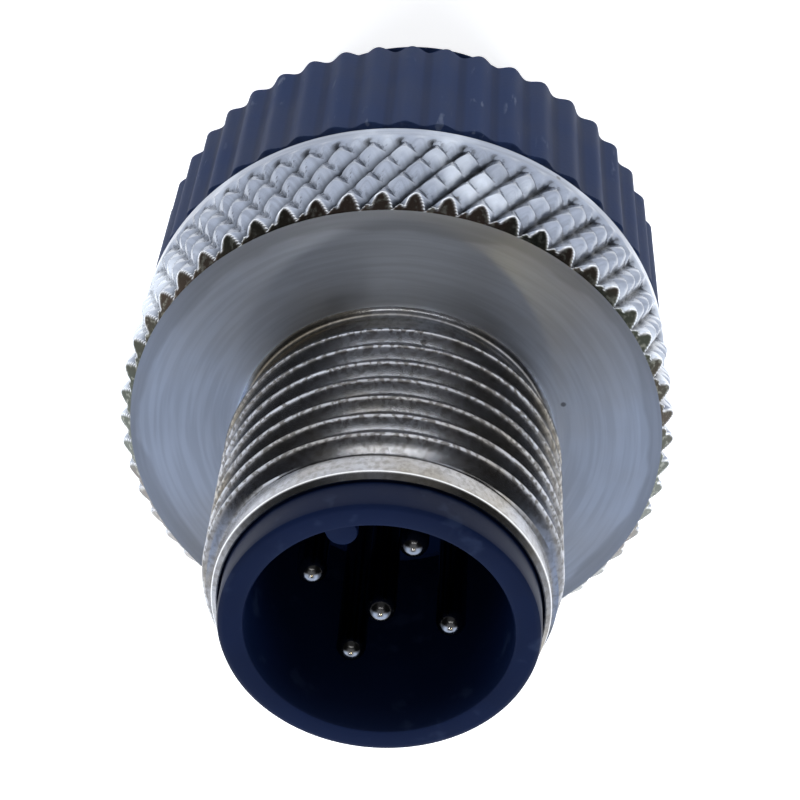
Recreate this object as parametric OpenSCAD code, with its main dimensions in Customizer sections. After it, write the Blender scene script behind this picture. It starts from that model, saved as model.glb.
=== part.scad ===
// Straight five-contact round cable plug, standing on its gland nut with the contacts up.
// Z = 0 is the rear face of the gland nut, and the Z axis is the plug's own axis.

/* [Mating face] */
// Outside diameter of the locking thread
thread_d = 12; // [11.8:0.1:14]
// Pitch of the locking thread
thread_pitch = 1; // [0.9:0.05:1.5]
// Depth of the thread grooves
thread_depth = 0.5; // [0.3:0.05:0.6]
// Length from the flange face to the front edge of the ring
thread_len = 9.3; // [8:0.1:12]
// Width of a thread groove at the crest
groove_w = 0.84; // [0.4:0.02:0.84]
// Smooth relief between the flange and the first thread groove
relief_len = 1.2; // [0.6:0.1:2]
// Width and height of the chamfer at the ring's front edge
nose_chamfer = 0.36; // [0.2:0.02:0.4]
// Height of the sleeve above the front edge of the ring
sleeve_proud = 1.1; // [0.9:0.1:2]
// Outside diameter of the sleeve's front lip
lip_d = 10.5; // [10.3:0.1:10.7]
// Width and height of the chamfer round the lip
lip_chamfer = 0.15; // [0.05:0.05:0.3]
// Outside diameter of the sleeve inside the ring
sleeve_d = 9.9; // [9.5:0.1:10]
// Inside diameter of the sleeve
cavity_d = 8.7; // [8:0.1:8.9]
// Depth of the sleeve from its rim to its floor
cavity_depth = 9; // [7:0.1:10]
// Width of the key inside the sleeve
key_w = 1.05; // [0.6:0.05:1.5]
// How far the key stands in from the sleeve's wall
key_reach = 1.4; // [0.8:0.05:1.5]
// Depth of the key's front end below the rim
key_recess = 1; // [0.4:0.1:2]

/* [Contacts] */
// Diameter of a contact pin
pin_d = 1; // [0.8:0.05:1.1]
// Diameter of the circle that the four outer contacts stand on
pin_circle_d = 5; // [4.8:0.1:5.4]
// Depth of the outer contact tips below the rim
pin_recess = 1.4; // [0.8:0.1:3]
// Depth of the centre contact tip below the rim
centre_pin_recess = 0.8; // [0.5:0.1:3]
// Diameter of a pin where it is seated in the insert's floor
pin_seat_d = 1.44; // [1.02:0.02:1.5]
// Diameter of a contact behind its front collar
shank_d = 1.6; // [1.4:0.1:1.8]
// Length of the thicker shank inside the insert
collar_len = 2.8; // [1.5:0.1:4]
// Diameter of the screw barrel at the rear of a contact
barrel_d = 2.2; // [2:0.05:2.3]
// Diameter of the wire hole in a barrel
wire_hole_d = 1.3; // [0.9:0.1:1.5]
// Depth of the wire hole in a barrel
wire_hole_len = 3.2; // [2.6:0.1:3.6]
// Length of an outer barrel
outer_barrel_len = 4.8; // [4.4:0.1:5]
// Depth of the outer barrels inside the rear of the block
barrel_recess = 0.5; // [0.2:0.1:0.6]
// How far the centre barrel stands out behind the block
centre_barrel_out = 1.7; // [1.6:0.1:1.9]
// Shank diameter of a terminal screw
screw_d = 1.2; // [1:0.1:1.3]
// Head diameter of a terminal screw
screw_head_d = 1.7; // [1.6:0.1:1.8]
// Head height of a terminal screw
screw_head_h = 0.7; // [0.5:0.1:0.9]
// Width of the slot in a screw head
screw_slot_w = 0.3; // [0.2:0.05:0.4]
// Radial room round a screw head in its pocket
screw_pocket_gap = 0.1; // [0.05:0.05:0.2]
// Gap between the outer barrels and their screw heads
screw_lift = 0.6; // [0.4:0.1:0.8]
// Distance of the outer terminal screws from the block's rear face
screw_inset = 1.45; // [1.3:0.05:1.7]

/* [Terminal block] */
// Diameter of the front flange
flange_d = 16.4; // [15.9:0.1:16.8]
// Thickness of the front flange
flange_t = 2.1; // [1.8:0.1:2.6]
// Depth of the socket that takes the insert
socket_len = 1.5; // [1:0.1:1.7]
// Diameter of the outside thread that holds the housing
block_thread_d = 15; // [14.4:0.1:15.2]
// Length of that thread
block_thread_len = 2.3; // [1.8:0.1:2.8]
// Length of the seal's seat between thread and flange
seal_seat_len = 1.27; // [1.2:0.01:1.5]
// Diameter of the block behind its thread
block_d = 13.2; // [12.6:0.1:13.8]
// Length of the block behind its thread
block_tail_len = 2.7; // [2.6:0.1:3]
// Depth of the groove that holds the body seal
seal_groove_depth = 0.85; // [0.6:0.05:0.9]
// Section diameter of the body seal
body_seal_t = 1; // [0.8:0.05:1.1]

/* [Locking ring] */
// Diameter over the knurl
ring_d = 20.1; // [19.6:0.1:22]
// Length of the knurled head
ring_len = 5.23; // [4.8:0.01:6]
// Number of knurl diamonds round the head
knurl_count = 55; // [40:1:70]
// Number of knurl rows along the head
knurl_rows = 4; // [2:2:6]
// Depth of the knurl
knurl_depth = 0.4; // [0.2:0.05:0.5]
// Width and height of the chamfer at the front of the head
head_chamfer = 0.45; // [0.4:0.05:0.8]
// Length of the smooth band behind the knurl
rear_band_len = 0.53; // [0.3:0.01:0.8]
// Length over which the knurl runs out into that band
runout_len = 0.11; // [0.05:0.01:0.2]
// Diameter of the smooth band behind the knurl
rear_band_d = 19.9; // [19.3:0.1:20]

/* [Housing] */
// Diameter over the housing's ribs
housing_d = 19.84; // [19.2:0.02:21]
// Length of the ribbed grip
grip_len = 6.37; // [6:0.01:8]
// Number of ribs round the grip
rib_count = 47; // [36:1:60]
// Depth of the flutes between the ribs
flute_depth = 0.26; // [0.1:0.02:0.35]
// Radius of a flute
flute_r = 0.78; // [0.74:0.02:0.9]
// Width of the chamfer at the front of the grip
grip_chamfer = 0.4; // [0.2:0.05:0.6]
// Length of the shoulder that narrows behind the grip
shoulder_len = 2.9; // [2.6:0.1:4]
// Diameter at the front of the shoulder
shoulder_d = 19; // [18.6:0.1:19.2]
// Diameter at the rear of the shoulder
shoulder_rear_d = 14.8; // [14.4:0.1:15.4]
// Inside diameter of the housing behind its thread
chamber_d = 14.4; // [14:0.1:14.6]
// Wall between the chamber and the shoulder's rear face
chamber_floor_t = 1; // [0.8:0.1:1.4]
// Thickness of the web in front of the cable seal
web_t = 0.7; // [0.5:0.1:0.9]
// Diameter of the outside thread that holds the gland nut
tail_d = 11.2; // [10.8:0.1:11.4]
// Inside diameter of the tail, round the cable seal
tail_bore_d = 8.8; // [8.2:0.1:9]

/* [Cable gland] */
// Outside diameter of the gland nut
nut_d = 13.8; // [13.4:0.1:14.2]
// Length of the gland nut
nut_len = 5.1; // [4.8:0.1:7]
// Thickness of the nut's end wall
nut_wall = 1.2; // [0.8:0.1:1.5]
// Diameter of the cable hole in the nut
cable_hole_d = 6.2; // [5:0.1:6.6]
// Length of the taper at the rear of the nut
nut_taper_len = 2; // [1:0.1:2.4]
// Width of the taper at the rear of the nut
nut_taper_w = 1; // [0.5:0.1:1.2]
// Number of flutes round the nut
nut_flute_count = 30; // [20:1:36]
// Depth of the flutes round the nut
nut_flute_depth = 0.22; // [0.1:0.02:0.3]
// Radius of a flute on the nut
nut_flute_r = 0.78; // [0.7:0.02:0.9]
// Thickness of the thrust washer
washer_t = 0.5; // [0.3:0.05:0.6]
// Thickness of the clamp cage's rear ring
cage_ring_t = 0.6; // [0.4:0.05:0.8]
// Length of the clamp cage's fingers
cage_finger_len = 0.9; // [0.6:0.1:1.2]
// Number of the clamp cage's fingers
cage_fingers = 8; // [4:1:10]

/* [Fits] */
// Radial clearance of pieces that turn or screw on each other
running_gap = 0.08; // [0.04:0.01:0.1]
// Radial clearance of pieces that are pushed together for good
push_gap = 0.02; // [0.01:0.01:0.04]
// Play between pieces that face each other across a moving joint
play = 0.3; // [0.2:0.02:0.34]
// Gap between the tightened gland nut and the housing's shoulder
nut_gap = 0.2; // [0.1:0.05:0.4]

/* [Hidden] */
$fn = 96;
// A cut runs past the face it opens by this much
over = 0.5;
// Solids that make up one piece run into each other by this much
weld = 0.1;

// Heights along the axis, from the rear face upwards
shoulder_z = nut_len + nut_gap;
grip_z = shoulder_z + shoulder_len;
block_seat_z = grip_z + grip_len;
ring_z = block_seat_z + play;
flange_z = ring_z + ring_len;
ring_front_z = flange_z + thread_len;
rim_z = ring_front_z + sleeve_proud;
block_front_z = block_seat_z + flange_t;
insert_z = block_front_z - socket_len;
floor_z = rim_z - cavity_depth;
collar_z = insert_z + collar_len;
thread_seat_z = block_seat_z - seal_seat_len;
block_tail_z = thread_seat_z - block_thread_len;
block_rear_z = block_tail_z - block_tail_len;
barrel_z = block_rear_z + barrel_recess + outer_barrel_len;
screw_z = block_rear_z + screw_inset;
centre_rear_z = block_rear_z - centre_barrel_out;
centre_screw_z = block_rear_z - screw_head_d / 2 - push_gap;
chamber_z = shoulder_z + chamber_floor_t;
web_z = chamber_z - web_t;
washer_z = nut_wall + push_gap;
cage_z = washer_z + washer_t + play / 2;
tail_z = cage_z + running_gap;
seal_z = cage_z + cage_ring_t + cage_finger_len + push_gap;
seal_len = web_z - seal_z - push_gap;

// Radii that follow from the sizes above
thread_r = thread_d / 2;
root_r = thread_r - thread_depth;
sleeve_r = sleeve_d / 2;
lip_r = lip_d / 2;
cavity_r = cavity_d / 2;
ring_bore_r = sleeve_r + running_gap;
ring_mouth_r = lip_r + play + running_gap;
flange_r = flange_d / 2;
peak_r = ring_d / 2;
valley_r = peak_r - knurl_depth;
face_r = peak_r - head_chamfer;
block_thread_r = block_thread_d / 2;
housing_thread_r = block_thread_r + running_gap;
seal_groove_r = block_thread_r - seal_groove_depth;
seal_ring_r = seal_groove_r + push_gap + body_seal_t / 2;
mouth_r = seal_ring_r + body_seal_t / 2 + play / 2;
pin_r = pin_circle_d / 2;
barrel_r = barrel_d / 2;
screw_tip_r = pin_r + wire_hole_d / 4;
screw_head_r = pin_r + barrel_r + screw_lift;
tail_r = tail_d / 2;
nut_bore_r = tail_r + running_gap;
cable_hole_r = cable_hole_d / 2;
seal_r = tail_bore_d / 2 - running_gap;

// The four outer contacts stand 45 degrees each side of the key, which is on +Y
pin_angles = [135, 225, 315, 45];

module ring_of(count, radius) {
    for (i = [0 : count - 1])
        rotate(i * 360 / count) translate([radius, 0, 0]) children();
}

module tube(outer_r, inner_r, z, h) {
    translate([0, 0, z]) difference() {
        cylinder(r = outer_r, h = h);
        translate([0, 0, -over]) cylinder(r = inner_r, h = h + 2 * over);
    }
}

module bore(r, z, h) {
    translate([0, 0, z]) cylinder(r = r, h = h);
}

// ---- locking ring -------------------------------------------------------

// The first groove opens into the relief, and a plain land is left at the front edge
groove_count = floor((thread_len - relief_len - nose_chamfer - groove_w / 2) / thread_pitch) + 1;

// One thread groove, as the half section of a ring with a V floor
module thread_groove(z) {
    half_w = groove_w / 2 * (1 + over / thread_depth);
    translate([0, 0, z]) rotate_extrude()
        polygon([[root_r, 0], [thread_r + over, -half_w], [thread_r + over, half_w]]);
}

// Knurled outside of the head: pyramids between crossing helical grooves
module knurl_band() {
    columns = 2 * knurl_count;
    top_z = ring_len - head_chamfer;
    row_h = (top_z - rear_band_len) / knurl_rows;
    inner_r = flange_r + play;
    blunt = knurl_depth / 20;
    function ring_points(r, z) = [for (k = [0 : columns - 1])
        [r * cos(k * 360 / columns), r * sin(k * 360 / columns), z]];
    function lattice_r(j, k) = (j + k) % 2 == 0 ? peak_r : valley_r;
    function lattice(j) = [for (k = [0 : columns - 1])
        let (r = lattice_r(j, k), a = k * 360 / columns)
        [r * cos(a), r * sin(a), rear_band_len + j * row_h]];
    // Tooth flanks run up to the chamfer cone, so valleys end higher than peaks, which it blunts a little
    chamfer_line = [for (k = [0 : columns - 1])
        let (r = min(lattice_r(knurl_rows, k), peak_r - blunt), a = k * 360 / columns)
        [r * cos(a), r * sin(a), ring_len - (r - face_r)]];
    rows = concat(
        [ring_points(inner_r, 0), ring_points(rear_band_d / 2, 0),
         ring_points(rear_band_d / 2, rear_band_len - runout_len)],
        [for (j = [0 : knurl_rows]) lattice(j)],
        [chamfer_line, ring_points(face_r, ring_len), ring_points(inner_r, ring_len)]
    );
    count = len(rows);
    function at(j, k) = (j % count) * columns + k % columns;
    faces = [for (j = [0 : count - 1], k = [0 : columns - 1])
        let (split = (j + k + 1) % 2 == 0)
        each split
            ? [[at(j, k), at(j + 1, k), at(j, k + 1)], [at(j, k + 1), at(j + 1, k), at(j + 1, k + 1)]]
            : [[at(j, k), at(j + 1, k), at(j + 1, k + 1)], [at(j, k), at(j + 1, k + 1), at(j, k + 1)]]];
    translate([0, 0, ring_z])
        polyhedron(points = [for (row = rows) each row], faces = faces);
}

module locking_ring() {
    web_front = block_front_z + play;
    color("silver") {
        difference() {
            union() {
                bore(thread_r, web_front + weld, ring_front_z - web_front - weld);
                bore(flange_r + 2 * play, web_front, flange_z - web_front);
            }
            for (i = [0 : groove_count - 1])
                thread_groove(flange_z + relief_len + i * thread_pitch);
            translate([0, 0, flange_z]) difference() {
                cylinder(r = thread_r + over, h = relief_len);
                cylinder(r = root_r, h = relief_len);
            }
            // Outside chamfer at the front edge
            translate([0, 0, ring_front_z]) rotate_extrude()
                polygon([[thread_r - nose_chamfer, over], [thread_r - nose_chamfer, 0],
                         [thread_r + over, -nose_chamfer - over], [thread_r + over, over]]);
            // Countersink that clears the sleeve's lip
            translate([0, 0, ring_front_z]) rotate_extrude()
                polygon([[0, over], [ring_mouth_r, over], [ring_mouth_r, 0],
                         [ring_bore_r, ring_bore_r - ring_mouth_r], [0, ring_bore_r - ring_mouth_r]]);
            bore(ring_bore_r, web_front - over, thread_len + ring_len + over);
        }
        knurl_band();
    }
}

// ---- insert -------------------------------------------------------------

module contact_holes() {
    for (i = [0 : 4]) {
        place = i < 4 ? pin_r : 0;
        angle = i < 4 ? pin_angles[i] : 0;
        rotate(angle) translate([place, 0, 0]) {
            bore(pin_seat_d / 2 + push_gap, collar_z - over, rim_z);
            bore(shank_d / 2 + push_gap, block_rear_z - over, collar_z - block_rear_z + over + push_gap);
        }
    }
}

module contact_insert() {
    lip_step = lip_r - sleeve_r;
    color([0.10, 0.13, 0.22]) {
        difference() {
            translate([0, 0, insert_z]) rotate_extrude()
                polygon([[0, 0], [sleeve_r, 0], [sleeve_r, ring_front_z - insert_z - lip_step - play],
                         [lip_r, ring_front_z - insert_z - play],
                         [lip_r, rim_z - insert_z - lip_chamfer],
                         [lip_r - lip_chamfer, rim_z - insert_z], [0, rim_z - insert_z]]);
            bore(cavity_r, floor_z, cavity_depth + over);
            contact_holes();
        }
        // Key: a round-nosed rail down the inside of the sleeve
        intersection() {
            bore((cavity_r + sleeve_r) / 2, floor_z - over / 2, cavity_depth - key_recess + over / 2);
            translate([-key_w / 2, cavity_r - key_reach + key_w / 2, floor_z - over / 2])
                cube([key_w, key_reach, cavity_depth]);
        }
        translate([0, cavity_r - key_reach + key_w / 2, floor_z - over / 2])
            cylinder(r = key_w / 2, h = cavity_depth - key_recess + over / 2);
    }
}

// ---- contacts and their screws ------------------------------------------

module contact(recess, rear_z, clamp_z) {
    tip_z = rim_z - recess;
    color("gainsboro") difference() {
        union() {
            bore(pin_d / 2, floor_z - weld, tip_z - pin_d / 2 - floor_z + weld);
            bore(pin_seat_d / 2, collar_z - weld, floor_z - collar_z + weld);
            translate([0, 0, tip_z - pin_d / 2]) sphere(d = pin_d);
            bore(shank_d / 2, barrel_z - weld, collar_z - barrel_z + weld);
            bore(barrel_d / 2, rear_z, barrel_z - rear_z);
        }
        bore(wire_hole_d / 2, rear_z - over, wire_hole_len + over);
        translate([0, 0, clamp_z]) rotate([0, 90, 0]) cylinder(d = screw_d + 2 * push_gap, h = barrel_d);
    }
}

module terminal_screw(tip, head) {
    color("lightsteelblue") rotate([0, 90, 0]) difference() {
        union() {
            translate([0, 0, tip]) cylinder(d = screw_d, h = head - tip + weld);
            translate([0, 0, head]) cylinder(d = screw_head_d, h = screw_head_h);
        }
        translate([-screw_head_d, -screw_slot_w / 2, head + screw_head_h / 2])
            cube([2 * screw_head_d, screw_slot_w, screw_head_h]);
    }
}

module outer_contact(i) {
    rotate(pin_angles[i]) translate([pin_r, 0, 0])
        contact(pin_recess, block_rear_z + barrel_recess, screw_z);
}

module outer_screw(i) {
    rotate(pin_angles[i]) translate([0, 0, screw_z]) terminal_screw(screw_tip_r, screw_head_r);
}

module centre_contact() {
    contact(centre_pin_recess, centre_rear_z, centre_screw_z);
}

module centre_screw() {
    translate([0, 0, centre_screw_z]) terminal_screw(wire_hole_d / 4, barrel_r + screw_lift / 2);
}

// ---- terminal block and its seal ----------------------------------------

module terminal_block() {
    pocket_r = screw_head_d / 2 + screw_pocket_gap;
    color([0.16, 0.17, 0.19]) difference() {
        translate([0, 0, block_rear_z]) rotate_extrude()
            polygon([[0, 0], [block_d / 2, 0],
                     [block_d / 2, block_tail_z - block_rear_z],
                     [block_thread_r, block_tail_z - block_rear_z],
                     [block_thread_r, thread_seat_z - block_rear_z],
                     [seal_groove_r, thread_seat_z - block_rear_z],
                     [seal_groove_r, block_seat_z - block_rear_z],
                     [flange_r, block_seat_z - block_rear_z],
                     [flange_r, block_front_z - block_rear_z],
                     [0, block_front_z - block_rear_z]]);
        bore(sleeve_r + push_gap, insert_z, socket_len + over);
        contact_holes();
        for (i = [0 : 4]) {
            rotate(i < 4 ? pin_angles[i] : 0) translate([i < 4 ? pin_r : 0, 0, 0])
                bore(barrel_r + push_gap, block_rear_z - over, barrel_z - block_rear_z + over + push_gap);
        }
        for (i = [0 : 3]) rotate(pin_angles[i]) translate([0, 0, screw_z]) rotate([0, 90, 0]) {
            translate([0, 0, pin_r]) cylinder(d = screw_d + 2 * push_gap, h = block_d);
            translate([0, 0, screw_head_r - push_gap]) cylinder(r = pocket_r, h = block_d);
        }
    }
}

module body_seal() {
    color([0.08, 0.08, 0.08])
        translate([0, 0, (thread_seat_z + block_seat_z) / 2]) rotate_extrude()
            translate([seal_ring_r, 0]) circle(d = body_seal_t);
}

// ---- housing ------------------------------------------------------------

module housing() {
    housing_r = housing_d / 2;
    mouth_z = thread_seat_z + push_gap;
    color([0.22, 0.27, 0.38]) difference() {
        union() {
            difference() {
                translate([0, 0, grip_z]) rotate_extrude()
                    polygon([[0, 0], [housing_r, 0], [housing_r, grip_len - grip_chamfer],
                             [housing_r - grip_chamfer, grip_len], [0, grip_len]]);
                ring_of(rib_count, housing_r - flute_depth + flute_r)
                    bore(flute_r, grip_z - over, grip_len + 2 * over);
            }
            translate([0, 0, shoulder_z])
                cylinder(r1 = shoulder_rear_d / 2, r2 = shoulder_d / 2, h = shoulder_len);
            bore(tail_r, tail_z, shoulder_z - tail_z + weld);
        }
        bore(mouth_r, mouth_z, block_seat_z - mouth_z + over);
        bore(housing_thread_r, block_tail_z, block_seat_z - block_tail_z);
        bore(chamber_d / 2, chamber_z, block_tail_z - chamber_z + weld);
        bore(cable_hole_r + running_gap, web_z - over, web_t + 2 * over);
        bore(tail_bore_d / 2, tail_z - over, web_z - tail_z + over);
    }
}

// ---- cable gland --------------------------------------------------------

module cable_seal() {
    color([0.10, 0.10, 0.10]) tube(seal_r, cable_hole_r, seal_z, seal_len);
}

module clamp_cage() {
    slot_w = 2 * PI * cable_hole_r / cage_fingers / 3;
    color([0.55, 0.56, 0.58]) difference() {
        tube(seal_r, cable_hole_r, cage_z, cage_ring_t + cage_finger_len);
        ring_of(cage_fingers, cable_hole_r - over)
            translate([0, -slot_w / 2, cage_z + cage_ring_t])
                cube([tail_bore_d, slot_w, cage_finger_len + over]);
    }
}

module thrust_washer() {
    color("lightgray") tube(tail_r - running_gap, cable_hole_r, washer_z, washer_t);
}

module gland_nut() {
    nut_r = nut_d / 2;
    flute_z = nut_taper_len + play;
    color([0.20, 0.24, 0.34]) difference() {
        rotate_extrude()
            polygon([[0, 0], [nut_r - nut_taper_w, 0], [nut_r, nut_taper_len],
                     [nut_r, nut_len - play], [nut_r - play, nut_len], [0, nut_len]]);
        ring_of(nut_flute_count, nut_r - nut_flute_depth + nut_flute_r)
            bore(nut_flute_r, flute_z, nut_len);
        bore(nut_bore_r, nut_wall, nut_len);
        bore(cable_hole_r, -over, nut_wall + 2 * over);
    }
}

locking_ring();
contact_insert();
outer_contact(0);  // contact_pin_1
outer_contact(1);  // contact_pin_2
outer_contact(2);  // contact_pin_3
outer_contact(3);  // contact_pin_4
centre_contact();  // contact_pin_5
terminal_block();
outer_screw(0);  // terminal_screw_1
outer_screw(1);  // terminal_screw_2
outer_screw(2);  // terminal_screw_3
outer_screw(3);  // terminal_screw_4
centre_screw();  // terminal_screw_5
body_seal();
housing();
cable_seal();
clamp_cage();
thrust_washer();
gland_nut();
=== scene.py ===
import math

import bmesh
import bpy
from mathutils import Matrix, Vector


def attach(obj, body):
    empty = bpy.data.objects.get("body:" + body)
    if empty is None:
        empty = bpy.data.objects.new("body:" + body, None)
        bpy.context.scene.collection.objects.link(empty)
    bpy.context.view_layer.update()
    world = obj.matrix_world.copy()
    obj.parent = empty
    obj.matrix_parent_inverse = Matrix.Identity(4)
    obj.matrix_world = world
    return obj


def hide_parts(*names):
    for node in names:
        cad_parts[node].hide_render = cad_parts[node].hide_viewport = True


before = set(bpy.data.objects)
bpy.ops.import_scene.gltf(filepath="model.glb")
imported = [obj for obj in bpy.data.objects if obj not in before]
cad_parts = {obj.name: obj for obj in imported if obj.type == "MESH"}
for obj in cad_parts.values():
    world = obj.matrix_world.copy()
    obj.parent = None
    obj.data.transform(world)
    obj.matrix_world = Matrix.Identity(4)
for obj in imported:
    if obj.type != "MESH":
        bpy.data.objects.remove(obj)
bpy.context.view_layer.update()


# ---- camera -----------------------------------------------------------------
# The plug stands on its gland nut and is looked down on from the side of its key,
# with the camera rolled over, so that the contacts point down and towards the viewer.
MM = 0.001
overhead = Vector((0, 0, 1))
eye = Vector((18.500, 40.705, 80.516)) * MM
aim = Vector((0.056, -0.025, 17.530)) * MM
roll = math.radians(175.236)
back = (eye - aim).normalized()
level_up = (overhead - back * back.z).normalized()
level_right = level_up.cross(back)
camera_x = level_right * math.cos(roll) - level_up * math.sin(roll)
camera_y = level_up * math.cos(roll) + level_right * math.sin(roll)
camera_turn = Matrix((camera_x, camera_y, back)).transposed()
camera_data = bpy.data.cameras.new("camera")
camera_data.lens = 93.56
camera_data.sensor_width = 36.0
camera_data.clip_start = 0.005
camera_data.clip_end = 20.0
camera = bpy.data.objects.new("camera", camera_data)
camera.matrix_world = Matrix.Translation(eye) @ camera_turn.to_4x4()
bpy.context.scene.collection.objects.link(camera)
bpy.context.scene.camera = camera
bpy.context.scene.view_settings.view_transform = "Standard"

# ---- studio -----------------------------------------------------------------
# A white table that runs into a white skyline, and above it a dim room with two soft blue
# screens behind the plug, on its left and right, which the turned metal picks up.


class Wires:
    """Arithmetic on the sockets of one node tree, for geometry and for shaders alike."""

    def __init__(self, tree):
        self.tree = tree

    def node(self, kind, **settings):
        made = self.tree.nodes.new(kind)
        for name, value in settings.items():
            setattr(made, name, value)
        return made

    def feed(self, socket, value):
        """Links a socket, or sets it to a value. None leaves it as it is."""
        if isinstance(value, bpy.types.NodeSocket):
            self.tree.links.new(value, socket)
        elif value is not None:
            socket.default_value = value

    def math(self, operation, *values):
        made = self.node("ShaderNodeMath", operation=operation)
        for socket, value in zip(made.inputs, values):
            self.feed(socket, value)
        return made.outputs[0]

    def add(self, a, b):
        return self.math("ADD", a, b)

    def sub(self, a, b):
        return self.math("SUBTRACT", a, b)

    def mul(self, a, b):
        return self.math("MULTIPLY", a, b)

    def div(self, a, b):
        return self.math("DIVIDE", a, b)

    def low(self, a, b):
        return self.math("MINIMUM", a, b)

    def high(self, a, b):
        return self.math("MAXIMUM", a, b)

    def absolute(self, a):
        return self.math("ABSOLUTE", a)

    def between(self, share, a, b):
        """Number a where share is 0 and b where it is 1."""
        return self.add(a, self.mul(share, self.sub(b, a)))

    def ramp(self, value, start, end, low=0.0, high=1.0):
        """A smooth change from low at start to high at end."""
        made = self.node("ShaderNodeMapRange", interpolation_type="SMOOTHSTEP")
        for name, number in (("Value", value), ("From Min", start), ("From Max", end),
                             ("To Min", low), ("To Max", high)):
            self.feed(made.inputs[name], number)
        return made.outputs[0]

    def blend(self, share, a, b):
        """Colour a where share is 0 and b where it is 1."""
        made = self.node("ShaderNodeMix", data_type="RGBA")
        self.feed(made.inputs["Factor"], share)
        colours = [s for s in made.inputs if s.type == "RGBA"]
        for socket, value in zip(colours, (a, b)):
            self.feed(socket, value if isinstance(value, bpy.types.NodeSocket) else (*value, 1.0))
        return [s for s in made.outputs if s.type == "RGBA"][0]

    def split(self, vector):
        """The x, y and z of a vector."""
        made = self.node("ShaderNodeSeparateXYZ")
        self.feed(made.inputs[0], vector)
        return made.outputs[:]

    def vector(self, x, y, z):
        made = self.node("ShaderNodeCombineXYZ")
        for socket, value in zip(made.inputs, (x, y, z)):
            self.feed(socket, value)
        return made.outputs[0]

    def along(self, vector, direction):
        """How far a vector goes in a direction."""
        made = self.node("ShaderNodeVectorMath", operation="DOT_PRODUCT")
        self.feed(made.inputs[0], vector)
        self.feed(made.inputs[1], direction)
        return made.outputs["Value"]

    def from_axis(self, x, y):
        """The distance from the Z axis."""
        return self.math("SQRT", self.add(self.mul(x, x), self.mul(y, y)))

    def noise(self, at, scale, detail=2.0):
        """Cloudy noise about 0.5, at a place or, where at is None, at the point itself."""
        made = self.node("ShaderNodeTexNoise")
        self.feed(made.inputs["Vector"], at)
        self.feed(made.inputs["Scale"], scale)
        self.feed(made.inputs["Detail"], detail)
        return made.outputs["Fac"]

    def bump(self, height, depth, strength=1.0):
        """The normal of a surface with a height from 0 to 1 that stands for depth."""
        made = self.node("ShaderNodeBump")
        self.feed(made.inputs["Height"], height)
        self.feed(made.inputs["Distance"], depth)
        self.feed(made.inputs["Strength"], strength)
        return made.outputs[0]

    def end_with(self, shader, output="ShaderNodeOutputMaterial"):
        self.feed(self.node(output).inputs["Surface"], shader.outputs[0])


def new_material(name):
    """An empty material and its wires."""
    made = bpy.data.materials.new(name)
    made.use_nodes = True
    made.node_tree.nodes.clear()
    return made, Wires(made.node_tree)


def seen_share(wires):
    """1 for a ray from the camera, a mirror or glass, and 0 for one that lights a dull surface."""
    rays = wires.node("ShaderNodeLightPath").outputs
    passed_on = wires.add(rays["Is Glossy Ray"], rays["Is Transmission Ray"])
    return wires.low(1.0, wires.add(rays["Is Camera Ray"], passed_on))


world = bpy.data.worlds.new("studio")
bpy.context.scene.world = world
world.use_nodes = True
world.node_tree.nodes.clear()
air = Wires(world.node_tree)
facing = math.atan2(back.y, back.x)
side = Vector((-math.sin(facing), math.cos(facing), 0))
toward = Vector((math.cos(facing), math.sin(facing), 0))

# Each part of the sky has its place by how far its direction goes aside, forward and up, from 0 to 1
heading = air.node("ShaderNodeTexCoord").outputs["Generated"]
sky_beside = air.absolute(air.along(heading, side))
sky_forward = air.along(heading, toward)
sky_height = air.split(heading)[2]
# The room is brighter on the viewer's side and darker to the left and right
room = air.mul(air.ramp(sky_forward, -0.7, 0.3, 0.09, 0.20), air.ramp(sky_beside, 0.30, 0.56, 1.0, 0.16))
# The screens fill the back of the room, but for a gap between them overhead
behind = air.ramp(sky_forward, -0.42, -0.10, 1.0, 0.0)
gap = air.mul(air.sub(1.0, air.ramp(sky_beside, 0.10, 0.46)), air.ramp(sky_height, 0.60, 0.76))
screens = air.mul(behind, air.sub(1.0, gap))
screen_strength = 1.18
room_colour, screen_colour, white = (0.90, 0.93, 1.0), (0.60, 0.73, 1.0), (1.0, 1.0, 1.0)
# The skyline is white, and reaches higher for the rays that show it than for those that light
skyline = air.high(air.ramp(sky_height, 0.05, 0.20, 1.0, 0.0),
                   air.mul(seen_share(air), air.ramp(sky_height, 0.20, 0.32, 1.0, 0.0)))
level = air.add(room, air.mul(screens, screen_strength))
backing = air.node("ShaderNodeBackground")
air.feed(backing.inputs["Strength"], air.between(skyline, level, 1.0))
air.feed(backing.inputs["Color"], air.blend(skyline, air.blend(screens, room_colour, screen_colour), white))
air.end_with(backing, "ShaderNodeOutputWorld")


def soft_box(name, across, forward, up, size, power, colour, wide=1.0, mirrored=False):
    """A soft lamp that points at the middle of the plug from a place that lies across, forward
    (towards the viewer) and up from there. It is size high and wide times as broad. The metal
    mirrors it only if mirrored."""
    data = bpy.data.lights.new(name, "AREA")
    data.shape = "RECTANGLE"
    data.size = size * wide
    data.size_y = size
    data.energy = power
    data.color = colour
    lamp = bpy.data.objects.new(name, data)
    lamp.location = aim + side * across + toward * forward + overhead * up
    lamp.rotation_euler = (aim - lamp.location).to_track_quat("-Z", "Y").to_euler()
    lamp.visible_glossy = mirrored
    bpy.context.scene.collection.objects.link(lamp)


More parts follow.
